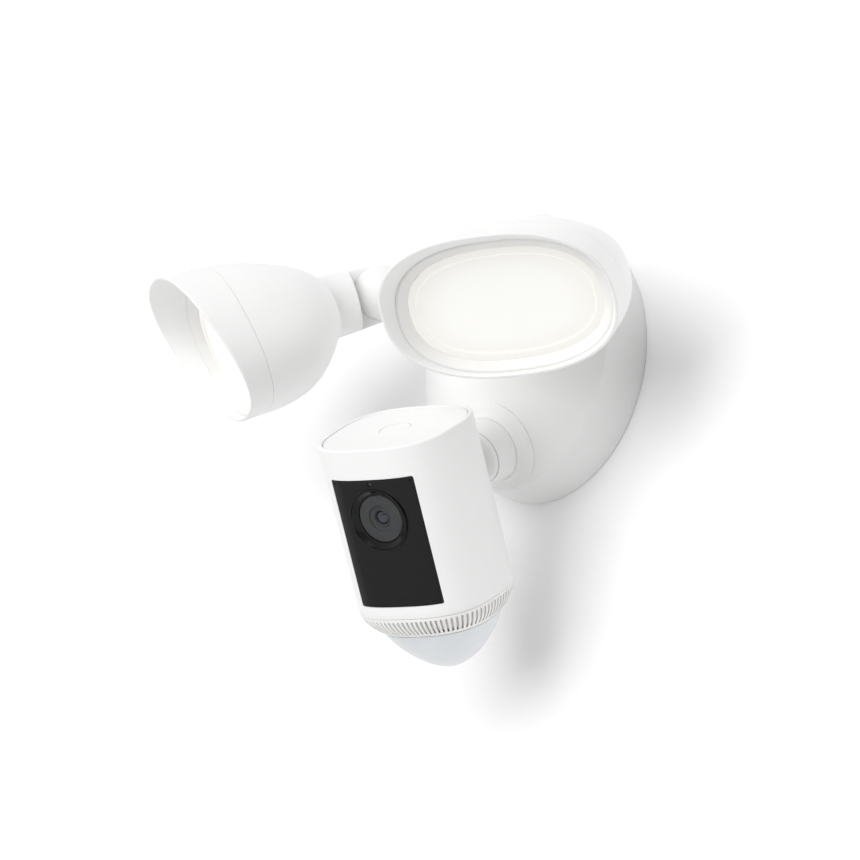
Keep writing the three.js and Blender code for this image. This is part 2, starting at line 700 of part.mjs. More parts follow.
// The vent ring, which narrows in a curve down to its lower edge.
function makeVentRing(top, bottom) {
  const skin = (inset, over = 0) =>
    skinned(
      [0, 0.35, 0.7, 1].map((share) => {
        const height = top + over + (bottom - top - 2 * over) * share;
        return bodyLoop(height, 0.4 + VENT_TAPER * share ** 2 + inset, 2.9 - 0.4 * share);
      }),
    );
  const core = skin(1.8, 0.5);
  const slots = Array.from({ length: VENT_SLOTS / 2 }, (_, i) => {
    const turn = new THREE.Matrix4().makeRotationZ((Math.PI * (i + 0.5)) / (VENT_SLOTS / 2));
    return moved(block(120, 1.8, 7.4, 0, 0, (top + bottom) / 2), turn).subtract(core);
  });
  const wall = skin(0).subtract(skin(3.8, 0.6));
  const vent = slots.reduce((left, slot) => left.subtract(slot), wall);
  piece(body, "vent_ring", vent, "softWhite");
}

// The sensor dome: an upright lens that narrows to a blunt tip.
function makeSensorDome(rim) {
  const tip = -SENSOR_DROP;
  const inset = VENT_TAPER + 1;
  const domeLoops = (thickness) =>
    [0, 0.2, 0.42, 0.64, 0.84, 0.96].map((share) => {
      const width = Math.sqrt(1 - share ** 1.4);
      return level({
        height: rim + (tip + thickness - rim) * share,
        halfWidth: (BODY_HALF_WIDTH - inset) * width - thickness,
        halfDepth: (BODY_HALF_DEPTH - inset) * width - thickness,
        power: 2.5 - 0.5 * share,
      });
    });
  const [mouth, ...rest] = domeLoops(1.8);
  const raised = mouth.map(([x, y, z]) => [x, y, z + 1]);
  const room = skinned([raised, ...rest.slice(0, 4)]);
  piece(body, "sensor_dome", skinned(domeLoops(0)).subtract(room), "frosted");
}

function makeCameraFoot() {
  const top = -BODY_HALF_HEIGHT - GAP;
  const bottom = -BODY_HALF_HEIGHT - VENT_HEIGHT;
  const rim = bottom - GAP;
  makeVentRing(top, bottom);
  makeSensorDome(rim);
  const sensor = [
    [0, rim - 6],
    [5, rim - 6],
    [5, rim - 1],
    [7, rim - 1],
    [7, rim + 1.4],
    [0, rim + 1.4],
  ];
  piece(body, "motion_sensor", turnedUpright(sensor), "steel");
  const carrier = [rim + 1.8, rim + 3.4].map((height) => bodyLoop(height, VENT_TAPER + 7));
  piece(body, "sensor_board", skinned(carrier), "board");
}

// ---------------------------------------------------------------- assembly
makeLight(LEFT_LIGHT);
makeLight(RIGHT_LIGHT);
makeCameraStem();
placeCamera();
makeCameraHousing();
makeCameraTop();
makeCameraFront();
makeCameraInside();
makeCameraFoot();
makeBaseBack();
makeBaseInside();
makeBaseHousing();

export default floodlight;
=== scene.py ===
import json
import math

import bmesh
import bpy
import numpy as np
from mathutils import Matrix, Vector

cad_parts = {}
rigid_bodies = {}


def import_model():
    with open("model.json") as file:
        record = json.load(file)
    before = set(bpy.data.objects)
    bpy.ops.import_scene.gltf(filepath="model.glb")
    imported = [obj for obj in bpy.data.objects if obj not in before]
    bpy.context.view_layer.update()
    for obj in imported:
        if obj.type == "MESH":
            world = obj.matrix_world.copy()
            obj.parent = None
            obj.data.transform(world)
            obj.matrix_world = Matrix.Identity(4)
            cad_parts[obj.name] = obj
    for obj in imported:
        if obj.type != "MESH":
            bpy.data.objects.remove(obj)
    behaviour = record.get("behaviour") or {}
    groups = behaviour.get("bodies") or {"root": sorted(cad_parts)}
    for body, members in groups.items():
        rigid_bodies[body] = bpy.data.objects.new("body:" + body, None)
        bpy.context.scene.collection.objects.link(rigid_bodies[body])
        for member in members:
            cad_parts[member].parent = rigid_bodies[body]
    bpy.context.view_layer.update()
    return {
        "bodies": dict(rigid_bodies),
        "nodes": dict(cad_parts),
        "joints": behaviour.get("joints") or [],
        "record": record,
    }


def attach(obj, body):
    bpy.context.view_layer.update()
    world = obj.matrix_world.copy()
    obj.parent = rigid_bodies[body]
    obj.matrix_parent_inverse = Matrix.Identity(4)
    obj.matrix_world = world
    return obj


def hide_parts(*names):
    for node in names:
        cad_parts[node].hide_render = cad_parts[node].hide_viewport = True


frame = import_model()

# The floodlight camera's looks. Lengths are in millimetres until a mesh is placed, and every
# piece is made in the frame of its own joint, where forward is -Y, right is +X and up is +Z.
MM = 0.001

# ---------------------------------------------------------------- driving dimensions
GAP = 0.35
SEAM_GAP = 0.15  # what shows of the gap between two pieces that meet in a fine line
WALL = 2.4
ROUND = 160  # sides of a turned piece
AROUND = 224  # points round an oval section
CORNER_STEPS = 10  # steps round a corner of a plate
GUARD = 1.015  # how far out beside a rounded corner its guard point stands

BASE_RADIUS = 82.0
FACE_RADIUS = 78.6
BAND_DEPTH = 28.5
DOME_RADIUS = 108.8
DOME_CENTRE = BAND_DEPTH - math.sqrt(DOME_RADIUS**2 - FACE_RADIUS**2)
COVER_FORWARD = 3.6
COVER_THICKNESS = 2.2
COVER_RADIUS = 77.4
BOX_SCREW_SPACING = 88.9
COVER_SCREW_ASIDE = 30
COVER_SCREW_BELOW = 14
LEAD_UP = 20

BOSS_FOOT_HEIGHT = 105.2
BOSS_TOP_HEIGHT = 110.8
BOSS_TOP_RADIUS = 19.6
CAMERA_FOOT_RADIUS = 27.7
LIGHT_FOOT_RADIUS = 24.0
SPIGOT_RADIUS = 15.7
JOURNAL_RADIUS = 11.4
JOURNAL_END_HEIGHT = 94.0
PIVOT_HEIGHT = 145.0
LIGHT_LEAN = 35.2
LIGHT_CLOCK = 33.9
CAMERA_LEAN = 31.9

KNUCKLE_RADIUS = 16.6
NECK_ROOT = 33.0
NECK_ROOT_RADIUS = 19.3
NECK_LIP = 18.0
CHEEK_ROOM_RADIUS = 26.0
PIN_RADIUS = 2.9
PIN_HEAD_RADIUS = 5.4
PIN_HEAD_FROM = 9.0

SEAM = {"forward": 93.6, "half_width": 68.4, "half_height": 44.9, "lean": 0.19, "drop": 5.5}
MOUTH = {"forward": 114.8, "half_width": 68.1, "half_height": 46.2, "lean": 0.36, "drop": 5.5}
SEAT = {"forward": 102.8, "half_width": 62.4, "half_height": 40.4, "lean": 0.19, "drop": 8.7}
HEAD_DROP = 5.5
PANEL_INSET = 12.2
OVAL_POWER = 2.4
SHELL_REACH_WIDTH = 61.06
SHELL_WIDTH_POWER = 3
SHELL_REACH_HEIGHT = 63.2
SHELL_HEIGHT_POWER = 1.9

RIGHT_LIGHT = {"side": 1, "swivel": 2.1, "bend": 50.9}
LEFT_LIGHT = {"side": -1, "swivel": -6.0, "bend": 36.3}
CAMERA_PAN = 10.4
CAMERA_TILT = 32.7
CAMERA_ROLL = -7.0

BODY_FORWARD = 46.1
BODY_DROP = 8.1
BODY_HALF_WIDTH = 43.3
BODY_HALF_DEPTH = 37.3
BODY_HALF_HEIGHT = 51.6
BODY_POWER = 2.9
WINDOW = {"half_width": 28.3, "top": 33.6, "bottom": -44.0, "corner": 1.3}
EYE_BELOW = 2.9  # how far below the window's top the light sensor sits
LENS_UP = 9.0
LENS_RING_RADIUS = 18.9
BUTTON_RADIUS = 9.2
VENT_HEIGHT = 14.2
VENT_TAPER = 8.3
VENT_SLOTS = 84
SENSOR_DROP = 94.3
BALL_RADIUS = 14.0
STEM_NECK_RADIUS = 7.5
SOCKET_OUTER_RADIUS = 18.6

VIEW = {"azimuth": 48.007, "elevation": -15.193, "distance": 3.5383, "lens": 251.16}
VIEW_ASIDE = -0.0498  # metres the view stands to its own right of the line to the origin
VIEW_BELOW = 0.0372
VIEW_SHIFT = -0.0421


# ---------------------------------------------------------------- frames
def boss_frame(lean, clock):
    """The frame at the centre of the dome whose forward axis leans from straight ahead."""
    lean, clock = math.radians(lean), math.radians(clock)
    forward = Vector((
        math.sin(lean) * math.cos(clock),
        -math.cos(lean),
        math.sin(lean) * math.sin(clock),
    ))
    back = -forward
    right = Vector((back.y, -back.x, 0)).normalized()
    up = right.cross(back)
    axes = Matrix((right, back, up)).transposed().to_4x4()
    return Matrix.Translation((0, -DOME_CENTRE, 0)) @ axes


def turn(degrees, axis):
    return Matrix.Rotation(math.radians(degrees), 4, axis)


HERE = Matrix.Identity(4)
CAMERA_BOSS = boss_frame(CAMERA_LEAN, -90)
BALL = CAMERA_BOSS @ Vector((0, -PIVOT_HEIGHT, 0))
CAMERA_FRAME = (
    Matrix.Translation(BALL)
    @ turn(CAMERA_PAN, "Z")
    @ turn(CAMERA_TILT, "X")
    @ turn(-CAMERA_ROLL, "Y")
)
BODY_FRAME = CAMERA_FRAME @ Matrix.Translation((0, -BODY_FORWARD, -BODY_DROP))


# ---------------------------------------------------------------- mesh making
def eased(points, steps=4, closed=False):
    """A profile whose corners are rounded: each point is (x, y) or (x, y, corner radius).

    A point just outside each rounded corner keeps the flat stretches beside it flat in shading.
    """
    count = len(points)
    result = []
    for i, point in enumerate(points):
        here = np.array(point[:2], float)
        radius = point[2] if len(point) > 2 else 0
        if radius == 0 or (not closed and i in (0, count - 1)):
            result.append(tuple(here))
            continue
        before = np.array(points[i - 1][:2], float) - here
        after = np.array(points[(i + 1) % count][:2], float) - here
        reach = min(radius, 0.49 * np.linalg.norm(before), 0.49 * np.linalg.norm(after))
        start = before / np.linalg.norm(before) * reach
        end = after / np.linalg.norm(after) * reach
        result.append(tuple(here + start * GUARD))
        for k in range(steps + 1):
            t = k / steps
            result.append(tuple(here + (1 - t) ** 2 * start + t**2 * end))
        result.append(tuple(here + end * GUARD))
    return result


def arc(radius, centre, start, end, steps):
    """Points (radius from the axis, forward) on a circle about the axis, angles from forward."""
    angles = np.radians(np.linspace(start, end, steps + 1))
    return [(radius * math.sin(a), centre + radius * math.cos(a)) for a in angles]


def skin(loops, closed=False):
    """Vertices and faces through equal loops of points, capped at both ends unless closed."""
    steps = len(loops[0])
    points = np.concatenate(loops)
    rows = len(loops) if closed else len(loops) - 1
    faces = []
    for row in range(rows):
        low, high = row * steps, ((row + 1) % len(loops)) * steps
        for i in range(steps):
            j = (i + 1) % steps
            faces.append((low + i, low + j, high + j, high + i))
    if not closed:
        first = (len(loops) - 1) * steps
        faces.append(tuple(range(steps))[::-1])
        faces.append(tuple(range(first, first + steps)))
    return points, faces


def turned(profile, closed=False, sides=ROUND, upright=False):
    """Vertices and faces of a solid of revolution, from (radius, along) points."""
    angles = np.linspace(0, 2 * math.pi, sides, endpoint=False)
    c, s = np.cos(angles), np.sin(angles)
    loops = []
    for radius, along in profile:
        radius = max(radius, 1e-3)
        if upright:
            loops.append(np.stack([radius * c, radius * s, np.full(sides, along)], 1))
        else:
            loops.append(np.stack([radius * c, np.full(sides, -along), radius * s], 1))
    return skin(loops, closed)


def rod(radius, start, end, sides=ROUND, upright=False):
    profile = [(0, start), (radius, start), (radius, end), (0, end)]
    return turned(profile, sides=sides, upright=upright)


def oval(half_width, half_height, power):
    """A rounded oval with its points spread evenly by angle."""
    angles = np.linspace(0, 2 * math.pi, AROUND, endpoint=False)
    c, s = np.cos(angles), np.sin(angles)
    size = (np.abs(c / half_width) ** power + np.abs(s / half_height) ** power) ** (-1 / power)
    return np.stack([size * c, size * s], 1)


def face(place, inset=0.0, forward=0.0):
    """A forward-facing oval on a plane that leans forward by `lean` for each millimetre up."""
    flat = oval(place["half_width"] - inset, place["half_height"] - inset, OVAL_POWER)
    x, z = flat[:, 0], flat[:, 1]
    return np.stack([x, -(place["forward"] + forward + place["lean"] * z), z - place["drop"]], 1)


def body_loop(height, inset, power=BODY_POWER):
    flat = oval(BODY_HALF_WIDTH - inset, BODY_HALF_DEPTH - inset, power)
    return np.column_stack([flat, np.full(len(flat), height)])


def rounded_plate(width, height, corner, back, front, z=0.0, x=0.0):
    """A plate with rounded corners, standing across the forward axis."""
    outline = []
    for turn_by, (sx, sz) in enumerate([(1, 1), (-1, 1), (-1, -1), (1, -1)]):
        for k in range(CORNER_STEPS + 1):
            angle = math.pi / 2 * (turn_by + k / CORNER_STEPS)
            outline.append((
                x + sx * (width / 2 - corner) + corner * math.cos(angle),
                z + sz * (height / 2 - corner) + corner * math.sin(angle),
            ))
    loops = [np.array([(px, -forward, pz) for px, pz in outline]) for forward in (back, front)]
    return skin(loops)


def shifted(shape, x=0.0, forward=0.0, z=0.0):
    points, faces = shape
    return points + np.array([x, -forward, z]), faces


def made(shape, frame=HERE, name="cutter"):
    """A mesh object from vertices and faces in a frame, with its faces turned outwards."""
    points, faces = shape
    matrix = np.array(frame)
    placed = (points @ matrix[:3, :3].T + matrix[:3, 3]) * MM
    mesh = bpy.data.meshes.new(name)
    mesh.from_pydata(placed.tolist(), [], faces)
    work = bmesh.new()
    work.from_mesh(mesh)
    bmesh.ops.remove_doubles(work, verts=work.verts, dist=2e-6)
    bmesh.ops.recalc_face_normals(work, faces=work.faces)
    work.to_mesh(mesh)
    work.free()
    thing = bpy.data.objects.new(name, mesh)
    bpy.context.scene.collection.objects.link(thing)
    return thing


def carved(thing, cutters, operation="DIFFERENCE"):
    """Works each cutter into `thing` with a boolean, then removes the cutters."""
    for cutter in cutters:
        step = thing.modifiers.new("carve", "BOOLEAN")
        step.operation = operation
        step.solver = "EXACT"
        step.object = cutter
    bpy.context.view_layer.update()
    graph = bpy.context.evaluated_depsgraph_get()
    mesh = bpy.data.meshes.new_from_object(thing.evaluated_get(graph))
    thing.modifiers.clear()
    thing.data = mesh
    for cutter in cutters:
        bpy.data.objects.remove(cutter)


def finished(thing, name, body, material, nodes, sharp=32):
    """Names a piece, shades it, gives it its material and joins it to its body."""
    thing.name = name
    thing.data.name = name
    thing.data.materials.clear()
    thing.data.materials.append(material)
    thing.data.polygons.foreach_set("use_smooth", [True] * len(thing.data.polygons))
    thing.data.set_sharp_from_angle(angle=math.radians(sharp))
    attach(thing, body)
    if nodes:
        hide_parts(*nodes)


# ---------------------------------------------------------------- materials
class Shader:
    """A material being made: its nodes, its principled shader and short ways to join them."""

    def __init__(self, name, color, roughness, **values):
        self.material = bpy.data.materials.new(name)
        self.material.use_nodes = True
        self.nodes = self.material.node_tree.nodes
        self.links = self.material.node_tree.links
        self.bsdf = self.nodes["Principled BSDF"]
        self.bsdf.inputs["Base Color"].default_value = (*color, 1)
        self.bsdf.inputs["Roughness"].default_value = roughness
        for label, value in values.items():
            self.bsdf.inputs[label.replace("_", " ")].default_value = value
        self.place = self.nodes.new("ShaderNodeTexCoord").outputs["Object"]

    def add(self, kind, **settings):
        node = self.nodes.new(kind)
        for label, value in settings.items():
            setattr(node, label, value)
        return node

    def join(self, start, end):
        self.links.new(start, end)

    def noise(self, scale, detail=3.0):
        node = self.add("ShaderNodeTexNoise")
        node.inputs["Scale"].default_value = scale
        node.inputs["Detail"].default_value = detail
        self.join(self.place, node.inputs["Vector"])
        return node.outputs["Fac"]

    def spread(self, source, low, high):
        node = self.add("ShaderNodeMapRange")
        node.inputs["From Min"].default_value = 0.3
        node.inputs["From Max"].default_value = 0.7
        node.inputs["To Min"].default_value = low
        node.inputs["To Max"].default_value = high
        self.join(source, node.inputs["Value"])
        return node.outputs["Result"]

    def blend(self, source, low, high, start=0.3, end=0.7):
        ramp = self.add("ShaderNodeValToRGB")
        ramp.color_ramp.elements[0].position = start
        ramp.color_ramp.elements[1].position = end
        ramp.color_ramp.elements[0].color = (*low, 1)
        ramp.color_ramp.elements[1].color = (*high, 1)
        self.join(source, ramp.inputs["Fac"])
        self.join(ramp.outputs["Color"], self.bsdf.inputs["Base Color"])

    def roughness(self, source, low, high):
        self.join(self.spread(source, low, high), self.bsdf.inputs["Roughness"])

    def bump(self, *layers):
        """Stacks (height source, depth in metres) layers of relief."""
        normal = None
        for height, depth in layers:
            node = self.add("ShaderNodeBump")
            node.inputs["Distance"].default_value = depth
            node.inputs["Strength"].default_value = 1.0
            self.join(height, node.inputs["Height"])
            if normal:
                self.join(normal, node.inputs["Normal"])
            normal = node.outputs["Normal"]
        self.join(normal, self.bsdf.inputs["Normal"])


def scaled(color, factor):
    return tuple(channel * factor for channel in color)


def moulded(name, color, roughness):
    """Injection-moulded plastic: a fine spark-eroded grain, faint flow marks and sheen."""
    shader = Shader(name, color, roughness)
    cloud = shader.noise(9.0, 4.0)
    shader.blend(cloud, scaled(color, 0.975), color)
    shader.roughness(shader.noise(160.0, 4.0), roughness - 0.05, roughness + 0.06)
    shader.bump((shader.noise(2600.0, 2.0), 0.000012), (shader.noise(14.0, 2.0), 0.00004))
    return shader.material


def polished(name, color, roughness):
    """Polished plastic with a trace of handling in its gloss."""
    shader = Shader(name, color, roughness, Specular_IOR_Level=0.3)
    shader.roughness(shader.noise(45.0, 5.0), roughness, roughness + 0.07)
    shader.blend(shader.noise(6.0), scaled(color, 0.8), scaled(color, 1.2))
    shader.bump((shader.noise(30.0, 2.0), 0.000015))
    return shader.material


def rubbery(name, color):
    shader = Shader(name, color, 0.8)
    shader.blend(shader.noise(40.0), scaled(color, 0.8), scaled(color, 1.25))
    shader.roughness(shader.noise(300.0), 0.7, 0.9)
    shader.bump((shader.noise(1800.0), 0.00004))
    return shader.material


def metallic(name, color, roughness, relief=0.00001, scale=900.0):
    shader = Shader(name, color, roughness, Metallic=1.0)
    grain = shader.noise(scale, 3.0)
    shader.blend(shader.noise(30.0, 4.0), scaled(color, 0.82), color)
    shader.roughness(grain, roughness - 0.08, roughness + 0.12)
    shader.bump((grain, relief))
    return shader.material


def circuit(name, color):
    """Solder mask over copper: lighter tracks in straight runs under a clear coat."""
    shader = Shader(name, color, 0.35, Coat_Weight=0.4)
    brick = shader.add("ShaderNodeTexBrick")
    brick.inputs["Color1"].default_value = (*color, 1)
    brick.inputs["Color2"].default_value = (*scaled(color, 0.7), 1)
    brick.inputs["Mortar"].default_value = (*scaled(color, 2.2), 1)
    brick.inputs["Scale"].default_value = 160.0
    brick.inputs["Mortar Size"].default_value = 0.03
    turned_place = shader.add("ShaderNodeMapping")
    turned_place.inputs["Rotation"].default_value = (math.pi / 2, 0, 0)
    shader.join(shader.place, turned_place.inputs["Vector"])
    shader.join(turned_place.outputs["Vector"], brick.inputs["Vector"])
    shader.join(brick.outputs["Color"], shader.bsdf.inputs["Base Color"])
    shader.bump((brick.outputs["Fac"], 0.00003))
    return shader.material


def lit_panel(name):
    """The opal panel of a lamp: warm at its rim and brightest in the middle."""
    shader = Shader(name, (0.36, 0.355, 0.34), 0.35, Emission_Strength=1.0)
    glow = shader.add("ShaderNodeAttribute", attribute_name="glow")
    ramp = shader.add("ShaderNodeValToRGB")
    ramp.color_ramp.elements[0].color = (0.56, 0.545, 0.51, 1)
    ramp.color_ramp.elements[1].color = (0.62, 0.62, 0.605, 1)
    shader.join(glow.outputs["Fac"], ramp.inputs["Fac"])
    shader.join(ramp.outputs["Color"], shader.bsdf.inputs["Emission Color"])
    shader.roughness(shader.noise(220.0), 0.3, 0.4)
    shader.bump((shader.noise(1500.0, 2.0), 0.00001))
    return shader.material


def lens_coating(name):
    """Coated optical glass over a dark barrel, with a painted reflection: more violet where it is
    seen at a grazing angle.
    """
    shader = Shader(name, (0.012, 0.012, 0.018), 0.03, Coat_Weight=1.0, Coat_Roughness=0.02)
    angle = shader.add("ShaderNodeLayerWeight")
    angle.inputs["Blend"].default_value = 0.35
    middle, edge = (0.016, 0.014, 0.026), (0.05, 0.04, 0.09)
    # painted reflection: the base colour turns violet as the glass faces away from the view
    shader.blend(angle.outputs["Facing"], middle, edge, start=0.1, end=0.8)
    shader.bump((shader.noise(60.0), 0.000004))
    return shader.material


def milky(name):
    """Thin translucent polyethylene, with the sensor's facets faint inside it."""
    color = (0.8, 0.812, 0.838)
    shader = Shader(
        name,
        color,
        0.34,
        Subsurface_Weight=0.35,
        Subsurface_Scale=0.004,
        Coat_Weight=0.15,
    )
    facets = shader.add("ShaderNodeTexVoronoi")
    facets.inputs["Scale"].default_value = 130.0
    shader.join(shader.place, facets.inputs["Vector"])
    shader.blend(facets.outputs["Distance"], scaled(color, 0.985), color, start=0.2, end=0.6)
    shader.roughness(shader.noise(120.0), 0.3, 0.4)
    shader.bump((shader.noise(1200.0), 0.00001))
    return shader.material


WHITE = moulded("moulded_white", (0.9, 0.9, 0.895), 0.42)
# A slightly darker, warmer copy of the white plastic: on the lens frame deep inside each hood it is
# painted shade.
SOFT_WHITE = moulded("moulded_soft_white", (0.89, 0.883, 0.865), 0.5)
DARK = moulded("moulded_dark", (0.03, 0.031, 0.034), 0.5)
CHARCOAL = moulded("moulded_charcoal", (0.042, 0.044, 0.045), 0.5)
GLOSS = polished("polished_black", (0.0075, 0.0075, 0.0075), 0.1)
RUBBER = rubbery("black_rubber", (0.03, 0.03, 0.032))
STEEL = metallic("zinc_steel", (0.6, 0.6, 0.61), 0.34)
ALUMINIUM = metallic("cast_aluminium", (0.7, 0.71, 0.72), 0.5, relief=0.00006, scale=1400.0)
BOARD = circuit("circuit_board", (0.015, 0.085, 0.04))
PANEL = lit_panel("lit_opal_panel")
COATED = lens_coating("coated_glass")
MILKY = milky("milky_dome")


# ---------------------------------------------------------------- base
def make_base():
    shell = turned(
        eased(
            [
                (BASE_RADIUS - WALL, 0.05),
                (BASE_RADIUS, 0.05, 0.3),
                (FACE_RADIUS + 0.12, BAND_DEPTH - 0.15, 0.45),
                *arc(DOME_RADIUS, DOME_CENTRE, 45.6, 0, 90),
                *arc(DOME_RADIUS - WALL, DOME_CENTRE, 0, 45.0, 40),
            ],
            5,
            closed=True,
        ),
        closed=True,
        sides=320,
    )
    finished(made(shell), "base_shell", "wall_base", WHITE, ["base_housing"], 40)


def make_boss(frame, name, foot_radius):
    seat = DOME_RADIUS + 0.06
    foot = math.degrees(math.asin((foot_radius - 0.25) / seat))
    spigot = math.degrees(math.asin(SPIGOT_RADIUS / seat))
    profile = eased(
        [
            (JOURNAL_RADIUS + GAP, 98),
            (SPIGOT_RADIUS, 98),
            *arc(seat, 0, spigot, foot, 8),
            (foot_radius, BOSS_FOOT_HEIGHT + 0.9, 0.5),
            (BOSS_TOP_RADIUS + 1.7, BOSS_TOP_HEIGHT - 1.7, 2.6),
            (BOSS_TOP_RADIUS + 0.1, BOSS_TOP_HEIGHT, 0.5),
            (JOURNAL_RADIUS + GAP, BOSS_TOP_HEIGHT),
        ],
        6,
        closed=True,
    )
    boss = made(turned(profile, closed=True), frame)
    finished(boss, f"{name}_boss_cone", "wall_base", WHITE, [f"{name}_boss"])


def slotted_screw(shaft, length, head, head_height):
    return eased(
        [
            (0, 0),
            (shaft, 0, 0.3),
            (shaft, length),
            (head, length, 0.2),
            (head, length + head_height * 0.6, 0.6),
            (head * 0.7, length + head_height, 0.8),
            (0, length + head_height),
        ]
    )


def make_back():
    bracket = made(turned(eased([(0, 0), (58, 0, 0.5), (58, 2.5, 0.5), (0, 2.5)])))
    slots = [
        made(rounded_plate(5.4, 18, 2.69, -1, 4, x=side * BOX_SCREW_SPACING / 2))
        for side in (-1, 1)
    ]
    windows = [made(rounded_plate(34, 9, 4.4, -1, 4, z=z)) for z in (-34, 34)]
    carved(bracket, slots + windows)
    finished(bracket, "bracket_plate", "wall_base", STEEL, ["wall_bracket"])

    gasket = eased(
        [(71, 0, 1), (79, 0, 1), (79, COVER_FORWARD - GAP, 1), (71, COVER_FORWARD - GAP, 1)],
        closed=True,
    )
    seal = made(turned(gasket, closed=True))
    finished(seal, "gasket_ring", "wall_base", RUBBER, ["wall_gasket"])

    front = COVER_FORWARD + COVER_THICKNESS
    disc = eased(
        [
            (0, COVER_FORWARD),
            (COVER_RADIUS, COVER_FORWARD, 0.6),
            (COVER_RADIUS, front, 0.6),
            (0, front),
        ]
    )
    cover = made(turned(disc))
    holes = [made(shifted(rod(9, 0, 12), z=LEAD_UP))]
    holes += [
        made(shifted(rod(2.6, 0, 12, sides=32), x=x, z=-COVER_SCREW_BELOW))
        for x in (-COVER_SCREW_ASIDE, COVER_SCREW_ASIDE)
    ]
    carved(cover, holes)
    finished(cover, "cover_disc", "wall_base", DARK, ["back_cover"])

    lip = eased(
        [
            (5, COVER_FORWARD, 0.6),
            (8.6, COVER_FORWARD, 0.4),
            (8.6, COVER_FORWARD + 2.6),
            (10.6, COVER_FORWARD + 2.6, 0.5),
            (10.6, COVER_FORWARD + 4.4, 0.5),
            (5, COVER_FORWARD + 4.4, 0.6),
        ],
        closed=True,
    )
    grommet = made(shifted(turned(lip, closed=True, sides=96), z=LEAD_UP))
    finished(grommet, "grommet_ring", "wall_base", RUBBER, ["lead_grommet"])
    for side, x in (("left", -COVER_SCREW_ASIDE), ("right", COVER_SCREW_ASIDE)):
        screw = turned(slotted_screw(2.2, 5.2, 4.2, 2.6), sides=48)
        body = made(shifted(screw, x=x, forward=3, z=-COVER_SCREW_BELOW))
        groove = rounded_plate(11, 0.9, 0.1, 7.2, 12)
        slot = made(shifted(groove, x=x, forward=3 - GAP, z=-COVER_SCREW_BELOW))
        carved(body, [slot])
        finished(body, f"screw_{side}", "wall_base", STEEL, [f"cover_screw_{side}"])


# ---------------------------------------------------------------- lights
def neck_radius(forward):
    return KNUCKLE_RADIUS + (NECK_ROOT_RADIUS - KNUCKLE_RADIUS) * max(forward, 0) / NECK_ROOT


def smooth(value, low, high):
    t = min(max((value - low) / (high - low), 0), 1)
    return t * t * (3 - 2 * t)


def shell_loop(forward, inset=0.0, necked=True):
    """The light shell's section: an oval that grows out of the round neck with a small fillet."""
    opened = smooth(forward, NECK_ROOT, 65)
    behind = SEAM["forward"] - forward
    power = 2 + (OVAL_POWER - 2) * opened

    def reach(length, curve):
        return max(1 - (behind / length) ** curve, 1e-9) ** (1 / curve)

    width = SEAM["half_width"] * reach(SHELL_REACH_WIDTH, SHELL_WIDTH_POWER) - inset
    height = SEAM["half_height"] * reach(SHELL_REACH_HEIGHT, SHELL_HEIGHT_POWER) - inset
    flat = oval(max(width, 0.01), max(height, 0.01), power)
    if necked and forward < NECK_ROOT + 14:
        size = np.linalg.norm(flat, axis=1)
        joined = (size**14 + neck_radius(min(forward, NECK_ROOT)) ** 14) ** (1 / 14)
        flat = flat * (joined / size)[:, None]
    x, z = flat[:, 0], flat[:, 1]
    return np.stack([x, -(forward + neck_lean(forward) * z), z - HEAD_DROP * opened], 1)


def neck_lean(forward):
    """How far a section leans forward for each millimetre up: it starts along the neck."""
    return SEAM["lean"] * smooth(forward, 2, NECK_ROOT - 4)


def round_loop(forward, radius):
    flat = oval(radius, radius, 2)
    x, z = flat[:, 0], flat[:, 1]
    return np.stack([x, -(forward + neck_lean(forward) * z), z], 1)


def laid_across(shape, side):
    """A turned shape laid along the knuckle pin, which points to the light's own side."""
    points, faces = shape
    return np.stack([-side * points[:, 1], side * points[:, 0], points[:, 2]], 1), faces


def pin_bar(side, radius, start, end, sides=64):
    return laid_across(rod(radius, start, end, sides), side)


def make_shell(frame, side, name):
    loops = [round_loop(along, radius) for radius, along in arc(KNUCKLE_RADIUS, 0, 179.9, 90, 24)]
    loops += [round_loop(f, neck_radius(f)) for f in np.linspace(2, 27, 10)]
    stations = NECK_ROOT - 4 + (SEAM["forward"] - NECK_ROOT + 4) * np.linspace(0, 1, 80) ** 2
    loops += [shell_loop(f) for f in stations[:-1]]
    edge = 0.25
    loops += [
        shell_loop(SEAM["forward"] - edge),
        shell_loop(SEAM["forward"] - edge * 0.3, edge * 0.12),
        shell_loop(SEAM["forward"], edge * 0.7),
        shell_loop(SEAM["forward"], WALL),
    ]
    inner = NECK_ROOT + 6 + (SEAM["forward"] - NECK_ROOT - 6) * np.linspace(0, 1, 24) ** 1.6
    loops += [shell_loop(f, WALL, necked=False) for f in inner[::-1][1:]]
    shell = made(skin(loops), frame)
    cheek = rounded_plate(40, 60, 0.1, -22, NECK_LIP, x=-side * (20 - 0.2))
    cutters = [
        made(cheek, frame),
        made(pin_bar(side, PIN_RADIUS + GAP, 0, 30), frame),
        made(pin_bar(side, PIN_HEAD_RADIUS + GAP, PIN_HEAD_FROM - GAP, 30), frame),
    ]
    carved(shell, cutters)
    finished(shell, f"shell_{name}", f"{name}_light", WHITE, [f"light_shell_{name}"])


def between(first, second, share):
    return {key: first[key] + (second[key] - first[key]) * share for key in first}


